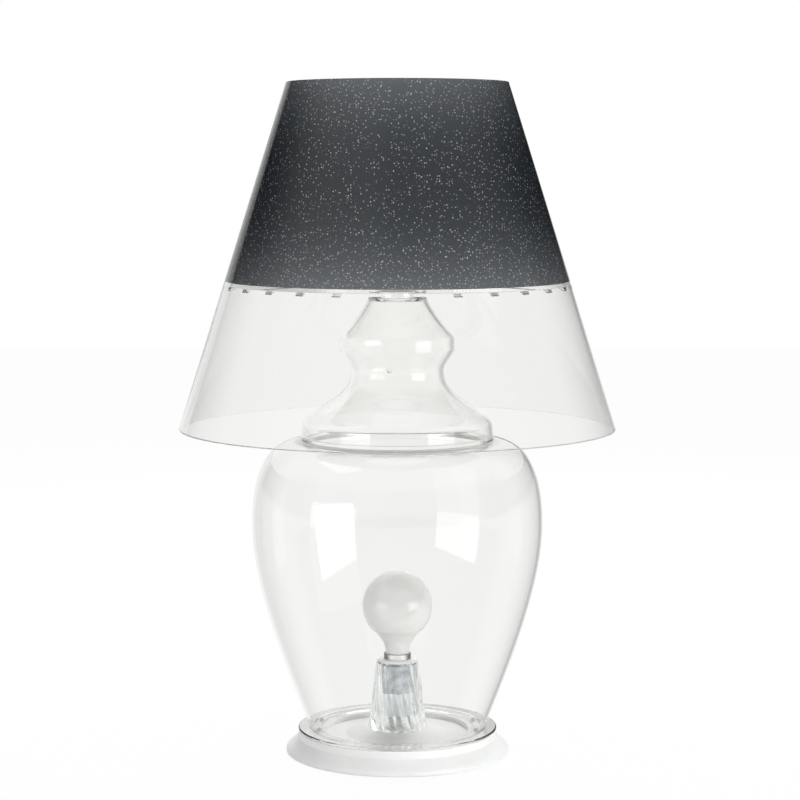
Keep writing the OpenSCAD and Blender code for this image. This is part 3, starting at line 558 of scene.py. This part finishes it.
# %% Clear materials
def clear(name, colour, ior, wave):
    """See-through plastic or glass with slow waves in its surface."""
    made, tree, surface, out = material(name)
    surface.inputs["Base Color"].default_value = (*colour, 1)
    surface.inputs["Transmission Weight"].default_value = 1.0
    surface.inputs["Roughness"].default_value = 0.0
    surface.inputs["IOR"].default_value = ior
    if wave:
        bump(tree, surface, 14.0, wave, 0.002)
    ray = node(tree, "ShaderNodeLightPath")
    gap = node(tree, "ShaderNodeBsdfTransparent", Color=(0.97, 0.97, 0.965, 1))
    mix = node(tree, "ShaderNodeMixShader")
    tree.links.new(ray.outputs["Is Shadow Ray"], mix.inputs["Fac"])
    tree.links.new(surface.outputs["BSDF"], mix.inputs[1])
    tree.links.new(gap.outputs["BSDF"], mix.inputs[2])
    tree.links.new(mix.outputs["Shader"], out.inputs["Surface"])
    return made


clear_plastic = clear("clear_plastic", (0.968, 0.969, 0.960), 1.49, 0.004)
lid_plastic = clear("lid_plastic", (1.0, 1.0, 0.995), 1.44, 0.0)
cut_glass = clear("cut_glass", (0.96, 0.98, 0.98), 1.52, 0.0)
wear(clear_plastic, jar, shade, disc)
wear(lid_plastic, lid)
wear(cut_glass, cover)
print("clear materials:", clear_plastic.name, lid_plastic.name, cut_glass.name)

# %% [markdown]
# ## Opaque finishes
#
# No real surface is one flat colour. Each finish has a slight change of tone
# and a faint grain, at a scale of its own: broad on the casing, fine on the
# small metal pieces.

# %% Plain finishes
def finish(name, dark, light, scale, roughness, metal=0.0, grain=0.05, gloss=0.5):
    """An opaque finish: a tone between two colours by noise, and a fine relief."""
    made, tree, surface, _ = material(name)
    surface.inputs["Roughness"].default_value = roughness
    surface.inputs["Metallic"].default_value = metal
    surface.inputs["Specular IOR Level"].default_value = gloss
    where = node(tree, "ShaderNodeTexCoord")
    noise = node(tree, "ShaderNodeTexNoise", Scale=scale, Detail=4.0)
    tone = node(tree, "ShaderNodeValToRGB")
    for stop, position, colour in zip(tone.color_ramp.elements, (0.3, 0.7), (dark, light)):
        stop.position = position
        stop.color = (*colour, 1)
    tree.links.new(where.outputs["Object"], noise.inputs["Vector"])
    tree.links.new(noise.outputs["Fac"], tone.inputs["Fac"])
    tree.links.new(tone.outputs["Color"], surface.inputs["Base Color"])
    bump(tree, surface, scale * 12, grain, 0.0002)
    return made


FINISHES = {
    "white_casing": finish("white_casing", (0.80, 0.81, 0.80), (0.84, 0.85, 0.84), 20, 0.35),
    "dish_white": finish("dish_white", (0.88, 0.885, 0.88), (0.91, 0.915, 0.91), 25, 0.4),
    "cover_plastic": finish("cover_plastic", (0.45, 0.45, 0.44), (0.5, 0.5, 0.49), 30, 0.5),
    "terminal_plastic": finish("terminal_plastic", (0.7, 0.68, 0.6), (0.78, 0.76, 0.68), 60, 0.4),
    "rubber_feet": finish("rubber_feet", (0.03, 0.03, 0.03), (0.06, 0.06, 0.06), 120, 0.85),
    "ballast_iron": finish("ballast_iron", (0.05, 0.05, 0.055), (0.11, 0.105, 0.1), 60, 0.7,
                           0.6, 0.4),
    "screw_steel": finish("screw_steel", (0.5, 0.5, 0.5), (0.62, 0.62, 0.62), 200, 0.3, 1.0),
    "bulb_metal": finish("bulb_metal", (0.6, 0.6, 0.6), (0.72, 0.72, 0.72), 150, 0.22, 1.0),
    "holder_chrome": finish("holder_chrome", (0.80, 0.81, 0.83), (0.88, 0.89, 0.91), 80, 0.25, 1.0,
                            0.02),
    "terminal_brass": finish("terminal_brass", (0.55, 0.4, 0.16), (0.68, 0.5, 0.22), 120, 0.3,
                             1.0),
    "bulb_white": finish("bulb_white", (0.78, 0.78, 0.77), (0.84, 0.84, 0.83), 40, 0.35),
    "opal_globe": finish("opal_globe", (0.84, 0.84, 0.83), (0.86, 0.86, 0.85), 12, 0.08, grain=0.01,
                         gloss=0.95),
    "bulb_black": finish("bulb_black", (0.01, 0.01, 0.01), (0.03, 0.03, 0.03), 80, 0.3),
    "board_aluminium": finish("board_aluminium", (0.7, 0.7, 0.7), (0.78, 0.78, 0.78), 90, 0.35,
                              1.0),
    "chip_yellow": finish("chip_yellow", (0.8, 0.6, 0.1), (0.9, 0.72, 0.2), 300, 0.4),
    "board_green": finish("board_green", (0.02, 0.14, 0.05), (0.03, 0.2, 0.08), 200, 0.4),
    "lead_brown": finish("lead_brown", (0.12, 0.05, 0.02), (0.17, 0.075, 0.03), 100, 0.45),
    "lead_blue": finish("lead_blue", (0.02, 0.08, 0.3), (0.03, 0.11, 0.38), 100, 0.45),
}
print(len(FINISHES), "finishes")

# %% [markdown]
# ## The liner's flecked slate
#
# Dark, slightly blue and softly glossy, with fine pale flecks. Small Voronoi
# cells give the flecks: only the middle of a cell is a fleck. A random number
# per cell decides whether it shows, and a second one how bright it is. Near
# both rims of the cone the flecks are closer, and the ground is paler: painted
# light, where light from outside gets behind the sheet.

# %% Liner finish
slate, tree, surface, _ = material("liner_slate")
where = node(tree, "ShaderNodeTexCoord").outputs["Object"]
height = node(tree, "ShaderNodeSeparateXYZ")
tree.links.new(where, height.inputs["Vector"])
# painted light: the ground turns paler towards both rims of the cone
LINER_MIDDLE, LINER_REACH, RIM_POWER = 0.664, 0.112, 2.6
off_middle = calc(tree, "ABSOLUTE", calc(tree, "SUBTRACT", height.outputs["Z"], LINER_MIDDLE))
near_rim = calc(tree, "POWER", mapped(tree, off_middle, From_Max=LINER_REACH), RIM_POWER)
painted_rim_light_ground = two_tone(tree, near_rim, (0.036, 0.042, 0.049), (0.165, 0.178, 0.192))
cells = node(tree, "ShaderNodeTexVoronoi", Scale=370.0)
chance = node(tree, "ShaderNodeSeparateColor")
tree.links.new(where, cells.inputs["Vector"])
tree.links.new(cells.outputs["Color"], chance.inputs["Color"])
in_the_middle = mapped(tree, cells.outputs["Distance"], From_Min=0.14, From_Max=0.32,
                       To_Min=1.0, To_Max=0.0)
brightness = mapped(tree, chance.outputs["Green"], To_Min=0.12)
shown = calc(tree, "GREATER_THAN", chance.outputs["Red"],
             mapped(tree, near_rim, To_Min=0.5, To_Max=0.05))
fleck = calc(tree, "MULTIPLY", calc(tree, "MULTIPLY", in_the_middle, brightness), shown)
tree.links.new(two_tone(tree, fleck, painted_rim_light_ground, (0.93, 0.94, 0.95)), surface.inputs["Base Color"])
surface.inputs["Roughness"].default_value = 0.6
surface.inputs["Specular IOR Level"].default_value = 0.12
wear(slate, liner)
print("liner material has", len(tree.nodes), "nodes")

# %% [markdown]
# ## Where a piece has a second finish
#
# The liner is white inside, as lamp liners are, to throw the light down. The
# vent's wall is painted shade: a dark finish where the hole would only be in
# shade. The clear pieces have satin faces where two of them rest on each other,
# and along the shade's lower edge and the cover's lip, as an edge has that is
# ground and then flame polished. Their pale, opaque colour is a painted
# highlight: it stands in for the bright lines these edges show, where a clear
# edge would mirror the dark side of the room and draw black rings.

# %% Second finishes
# painted highlight: a pale opaque finish on clear edges and resting faces, for the bright lines
# they show
edge_painted_highlight = finish("edge_painted_highlight", (0.88, 0.88, 0.87), (0.92, 0.92, 0.91), 200, 0.45)
liner_white = finish("liner_white", (0.80, 0.80, 0.78), (0.84, 0.84, 0.82), 60, 0.6)
# painted shade: a dark finish for the wall of the vent hole
vent_painted_shade = finish("vent_painted_shade", (0.05, 0.05, 0.05), (0.09, 0.09, 0.09), 200, 0.5)


def second_finish(piece, material_made, chosen):
    """Gives a second material to the faces for which chosen says yes."""
    piece.data.materials.append(material_made)
    faces = [f for f in piece.data.polygons if chosen(f)]
    for face in faces:
        face.material_index = len(piece.data.materials) - 1
    print(piece.name, "has", len(faces), "faces in", material_made.name)


def in_the_vent(face):
    """Whether a face is on the wall of the drilled vent."""
    off_axis = face.center - Vector((0, 0, VENT_Z)) * MM
    off_axis -= vent_dir * off_axis.dot(vent_dir)
    return (face.center.dot(vent_dir) > 0.03 and off_axis.length < (VENT_R + 0.1) * MM
            and abs(face.normal.dot(vent_dir)) < 0.4)


def satin_with_painted_highlight(piece, chosen):
    """A satin finish with a painted highlight, chosen by a face's radius, height and how level it
    lies.
    """
    second_finish(piece, edge_painted_highlight, lambda f: chosen(
        f.center.xy.length / MM, f.center.z / MM, abs(f.normal.z) > 0.3))


def near(z, *levels, reach=0.5):
    """Whether a height is close to one of the levels."""
    return any(abs(z - one) < reach for one in levels)


second_finish(liner, liner_white, lambda f: f.normal.xy.dot(f.center.xy) < 0)
# the vent's wall gets painted shade
second_finish(lid, vent_painted_shade, in_the_vent)
satin_with_painted_highlight(shade, lambda r, z, level: z < SHADE_LOW + 0.6 and level)
satin_with_painted_highlight(lid, lambda r, z, level: (r > 110.5 and LIP_TOP - 0.6 < z < LIP_TOP + WALL + 0.6)
      or (level and near(z, LIP_TOP, LIP_TOP + WALL, SKIRT_LOW)))
satin_with_painted_highlight(jar, lambda r, z, level: (level and r < LIP_OUT + 0.5 and near(z, LIP_TOP, reach=0.3))
      or (level and r < LIP_OUT and near(z, LIP_LOW, reach=0.3))
      or (r < LIP_IN + 0.4 and LIP_LOW - 0.4 < z < LIP_TOP + 0.4))
satin_with_painted_highlight(cover, lambda r, z, level: z > COVER_TOP - 2.5 and level)

# %% [markdown]
# ## Finishes on the CAD's own pieces
#
# Each CAD node carries the name of its finish, so a look-up dresses them.

# %% Dress the CAD nodes
dressed = 0
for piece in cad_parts.values():
    for slot in piece.material_slots:
        key = slot.material.name.split(".")[0] if slot.material else ""
        if key in FINISHES:
            slot.material = FINISHES[key]
            dressed += 1
print("slots dressed by name:", dressed)

# %% [markdown]
# ## The lampholder
#
# The ring between the bulb and the cover is a pale nickel with painted shade:
# its colour darkens where it turns away from the view, a painted reflection of
# the dark room round it. The lampholder behind the cut glass is mottled grey,
# so that the facets have something to break up.

# %% Lampholder finishes
holder_slate = finish("slate_metal", (0.30, 0.33, 0.38), (0.90, 0.91, 0.94), 110, 0.35, 0.4)
ring_nickel_painted_shade, tree, surface, _ = material("ring_nickel_painted_shade")
# painted shade: the colour darkens where the surface turns away from the view
turned_away_painted_shade = node(tree, "ShaderNodeLayerWeight", Blend=0.5).outputs["Facing"]
tree.links.new(
    two_tone(tree, mapped(tree, turned_away_painted_shade, From_Min=0.12, From_Max=0.4),
             (0.86, 0.86, 0.87), (0.10, 0.10, 0.11)),
    surface.inputs["Base Color"])
surface.inputs["Roughness"].default_value = 0.3
surface.inputs["Metallic"].default_value = 0.5
wear(ring_nickel_painted_shade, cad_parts["holder_ring"])
for name in ("holder_core", "holder_shell", "screw_sleeve"):
    wear(holder_slate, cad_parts[name])
print("ring and lampholder dressed")

# %% [markdown]
# ## The table
#
# The lamp stands on a plain white table with no edge in sight. To the camera,
# nearly all of its colour is its own glow of strength 1, which is white. The
# rest is lit paper, so the lamp's shadow still shows. What mirrors the table,
# or shows it through a clear wall, gets it from the world instead.

# %% Table
OWN_GLOW = 0.96
floor_bm = bmesh.new()
bmesh.ops.create_grid(floor_bm, x_segments=1, y_segments=1, size=6.0)
floor_mesh = bpy.data.meshes.new("floor")
floor_bm.to_mesh(floor_mesh)
floor_bm.free()
floor = bpy.data.objects.new("floor", floor_mesh)
bpy.context.collection.objects.link(floor)
floor.visible_glossy = False
floor.visible_transmission = False
paper, tree, surface, out = material("white_table")
surface.inputs["Base Color"].default_value = (0.8, 0.8, 0.8, 1)
surface.inputs["Roughness"].default_value = 0.6
ray = node(tree, "ShaderNodeLightPath")
glow = node(tree, "ShaderNodeEmission", Color=(1, 1, 1, 1), Strength=1.0)
mix = node(tree, "ShaderNodeMixShader")
tree.links.new(calc(tree, "MULTIPLY", ray.outputs["Is Camera Ray"], OWN_GLOW), mix.inputs["Fac"])
tree.links.new(surface.outputs["BSDF"], mix.inputs[1])
tree.links.new(glow.outputs["Emission"], mix.inputs[2])
tree.links.new(mix.outputs["Shader"], out.inputs["Surface"])
floor.data.materials.append(paper)
print("table is", round(floor.dimensions.x, 1), "m wide")

# %% [markdown]
# ## A studio drawn in the world
#
# Clear plastic shows little but what it mirrors, so the room round the lamp
# matters more than the lamps in it. The world's strength is that room: a sum
# of soft steps along the ray's direction.

# %% Helpers for the studio
world = bpy.data.worlds.new("studio")
bpy.context.scene.world = world
world.use_nodes = True
sky = world.node_tree
sky.nodes.clear()
ray_direction = node(sky, "ShaderNodeTexCoord").outputs["Generated"]


def chained(operation, *values):
    """The same step of arithmetic over several values, from left to right."""
    result = values[0]
    for value in values[1:]:
        result = calc(sky, operation, result, value)
    return result


def times(*values):
    return chained("MULTIPLY", *values)


def plus(*values):
    return chained("ADD", *values)


def largest(*values):
    return chained("MAXIMUM", *values)


def less(one, other):
    return calc(sky, "SUBTRACT", one, other)


print("world nodes so far:", len(sky.nodes))

# %% [markdown]
# ## Directions and softboxes
#
# A softbox is a rectangle of light seen in one direction, with a slightly
# soft border. It is 1 where the ray points into it and 0 elsewhere.

# %% Helpers for softboxes
def along(direction):
    """How far the ray points along a given direction, from -1 to 1."""
    made = sky.nodes.new("ShaderNodeVectorMath")
    made.operation = "DOT_PRODUCT"
    sky.links.new(ray_direction, made.inputs[0])
    made.inputs[1].default_value = direction
    return made.outputs["Value"]


def step_up(value, low, high):
    """0 before low, 1 after high, and a smooth rise between them."""
    return mapped(sky, value, "SMOOTHSTEP", From_Min=low, From_Max=high)


def softbox(azimuth, elevation, half_w, half_h, blur):
    """1 inside a box of light, 0 outside, in degrees. Azimuth 0 is straight in
    front of the lamp, and grows to the right."""
    az, el = math.radians(azimuth), math.radians(elevation)
    ahead = Vector((math.sin(az) * math.cos(el), -math.cos(az) * math.cos(el), math.sin(el)))
    right = Vector((math.cos(az), math.sin(az), 0))
    up = ahead.cross(right)
    up = up if up.z > 0 else -up
    facing = along(ahead)
    w, h, b = (math.tan(math.radians(x)) for x in (half_w, half_h, blur))
    inside = [step_up(calc(sky, "ABSOLUTE", calc(sky, "DIVIDE", along(side),
                                                 largest(facing, 0.05))), size + b, size - b)
              for side, size in ((right, w), (up, h))]
    return times(*inside, step_up(facing, 0.05, 0.2))


def choose(switch, when_off, when_on):
    """One value or the other, by a switch that is 0 or 1."""
    made = node(sky, "ShaderNodeMix")
    made.data_type = "FLOAT"
    for value, name in ((switch, "Factor"), (when_off, "A"), (when_on, "B")):
        put(sky, value, made.inputs[name])
    return made.outputs["Result"]


print("world nodes so far:", len(sky.nodes))

# %% [markdown]
# ## What the outer faces mirror
#
# A ray that leaves an outer face by reflection sees a dim room in front, a
# white table below, a pale wall far behind on the left, and two softboxes.
# The table darkens towards the far left and right, which draws the thin grey
# outlines of the clear walls.

# %% Mirrored studio
upwards, frontwards = along((0, 0, 1)), along((0, -1, 0))
backwards, rightwards = along((0, 1, 0)), along((1, 0, 0))
far_right = times(step_up(rightwards, 0.2, 0.34), step_up(backwards, 0.3, 0.8))
far_left = times(step_up(rightwards, -0.3, -0.5), step_up(backwards, 0.3, 0.7))
table = times(step_up(upwards, 0.05, -0.02),
              plus(0.86, times(step_up(upwards, -0.1, -0.3), 0.08)),
              less(1.0, times(far_right, 0.5)), less(1.0, times(far_left, 0.45)))
room = times(step_up(frontwards, -0.55, 0.45), 0.45,
             plus(1.0, times(step_up(rightwards, 0.05, -0.4), 0.5)))
left_wall = times(step_up(backwards, 0.79, 0.83), step_up(upwards, 0.36, 0.22),
                  step_up(rightwards, 0.08, -0.08),
                  plus(0.42, times(step_up(backwards, 0.83, 0.95), 0.3)))
left_low = softbox(-53, -13, 20, 22, 0.5)
left_high = softbox(-53, 4, 20, 8, 0.5)
right_box = softbox(55, 3, 18, 12, 0.5)
top_box = softbox(-95, 62, 18, 9, 1)
mirror = largest(room, table, left_wall, times(left_low, 1.2), times(right_box, 0.3))
print("world nodes so far:", len(sky.nodes))

# %% [markdown]
# ## What shows through a clear wall
#
# A ray that leaves through a wall has been mirrored or scattered further in.
# It sees paler surroundings and stronger softboxes. Opaque pieces inside get
# plain light: the liner mostly from the front, and everything behind two
# walls, such as the bulb, evenly from all sides.

# %% Studio through the walls
TWO_WALLS = 3.5  # a wall has two faces, so a ray behind two walls has crossed four
ray = node(sky, "ShaderNodeLightPath")
two_walls = calc(sky, "GREATER_THAN", ray.outputs["Transmission Depth"], TWO_WALLS)
scattered = calc(sky, "GREATER_THAN", ray.outputs["Diffuse Depth"], 0.5)
bright = largest(step_up(frontwards, 0.1, -0.3), step_up(upwards, 0.02, -0.03),
                 step_up(upwards, 0.35, 0.65))
boxes = largest(times(left_low, 1.35), times(left_high, 2.6),
                times(right_box, choose(two_walls, 0.6, 3.4)), times(top_box, 2.0))
clear_view = largest(less(plus(0.52, times(bright, 0.45)), times(far_right, 0.4)), boxes)
even = plus(0.90, times(bright, 0.08))
frontal = plus(0.07, times(step_up(frontwards, 0.1, 0.9), 1.35))
through = choose(scattered, clear_view, choose(two_walls, frontal, even))
print("world nodes so far:", len(sky.nodes))

# %% [markdown]
# ## One world for every kind of ray
#
# The camera sees plain white at strength 1. A diffuse ray, which lights the
# outer pieces, sees one even level.

# %% World output
DIFFUSE_LEVEL = 0.78
only_mirrored = times(ray.outputs["Is Glossy Ray"], less(1.0, ray.outputs["Is Transmission Ray"]))
level_now = choose(only_mirrored, DIFFUSE_LEVEL, mirror)
level_now = choose(ray.outputs["Is Transmission Ray"], level_now, through)
level_now = choose(ray.outputs["Is Camera Ray"], level_now, 1.0)
background = node(sky, "ShaderNodeBackground", Color=(1, 1, 1, 1))
world_out = node(sky, "ShaderNodeOutputWorld")
sky.links.new(level_now, background.inputs["Strength"])
sky.links.new(background.outputs["Background"], world_out.inputs["Surface"])
print("world nodes:", len(sky.nodes))

# %% [markdown]
# ## Soft lamps
#
# Four area lamps give the opaque pieces their shading. None of them shows in
# the clear walls, because the world already draws what those mirror. The key
# and the front lamp are narrow beams: one is for the bulb and the base, the
# other for the liner.

# %% Lamps
def softlight(name, at, aim, size, power, spread=180):
    """A soft lamp that lights the pieces but is not seen in mirrors."""
    data = bpy.data.lights.new(name, "AREA")
    data.spread = math.radians(spread)
    data.shape = "RECTANGLE"
    data.size, data.size_y = size
    data.energy = power
    made = bpy.data.objects.new(name, data)
    bpy.context.collection.objects.link(made)
    made.location = at
    made.rotation_euler = (Vector(aim) - Vector(at)).to_track_quat("-Z", "Y").to_euler()
    made.visible_glossy = False
    made.visible_transmission = False
    made.visible_camera = False
    print("lamp", name, "of", power, "W")


softlight("key", (1.45, -1.75, 0.5), (0, 0, 0.05), (1.0, 0.8), 1.52, 36)
softlight("front", (0.1, -2.3, 1.1), (0, 0, 0.664), (0.6, 0.5), 0.3, 24)
softlight("behind", (0.3, 1.9, 1.6), (0, 0, 0.05), (1.2, 0.8), 48)
softlight("left", (-0.9, -1.5, 2.0), (0, 0, 0.5), (1.0, 1.0), 1.5)

# %% [markdown]
# ## Path depth
#
# A ray through the shade, the lid and back out crosses more than a dozen
# clear faces. With Blender's usual depth it would end in black, so the paths
# may be longer.

# %% Path depth
cycles = bpy.context.scene.cycles
cycles.max_bounces = 32
cycles.transmission_bounces = 32
cycles.transparent_max_bounces = 32
cycles.glossy_bounces = 12
bpy.context.scene.view_settings.view_transform = "Standard"
print("bounces", cycles.max_bounces)

# %% [markdown]
# ## The end
#
# The scene is complete; this cell only prints a closing line.

# %% Finish
print("scene done")
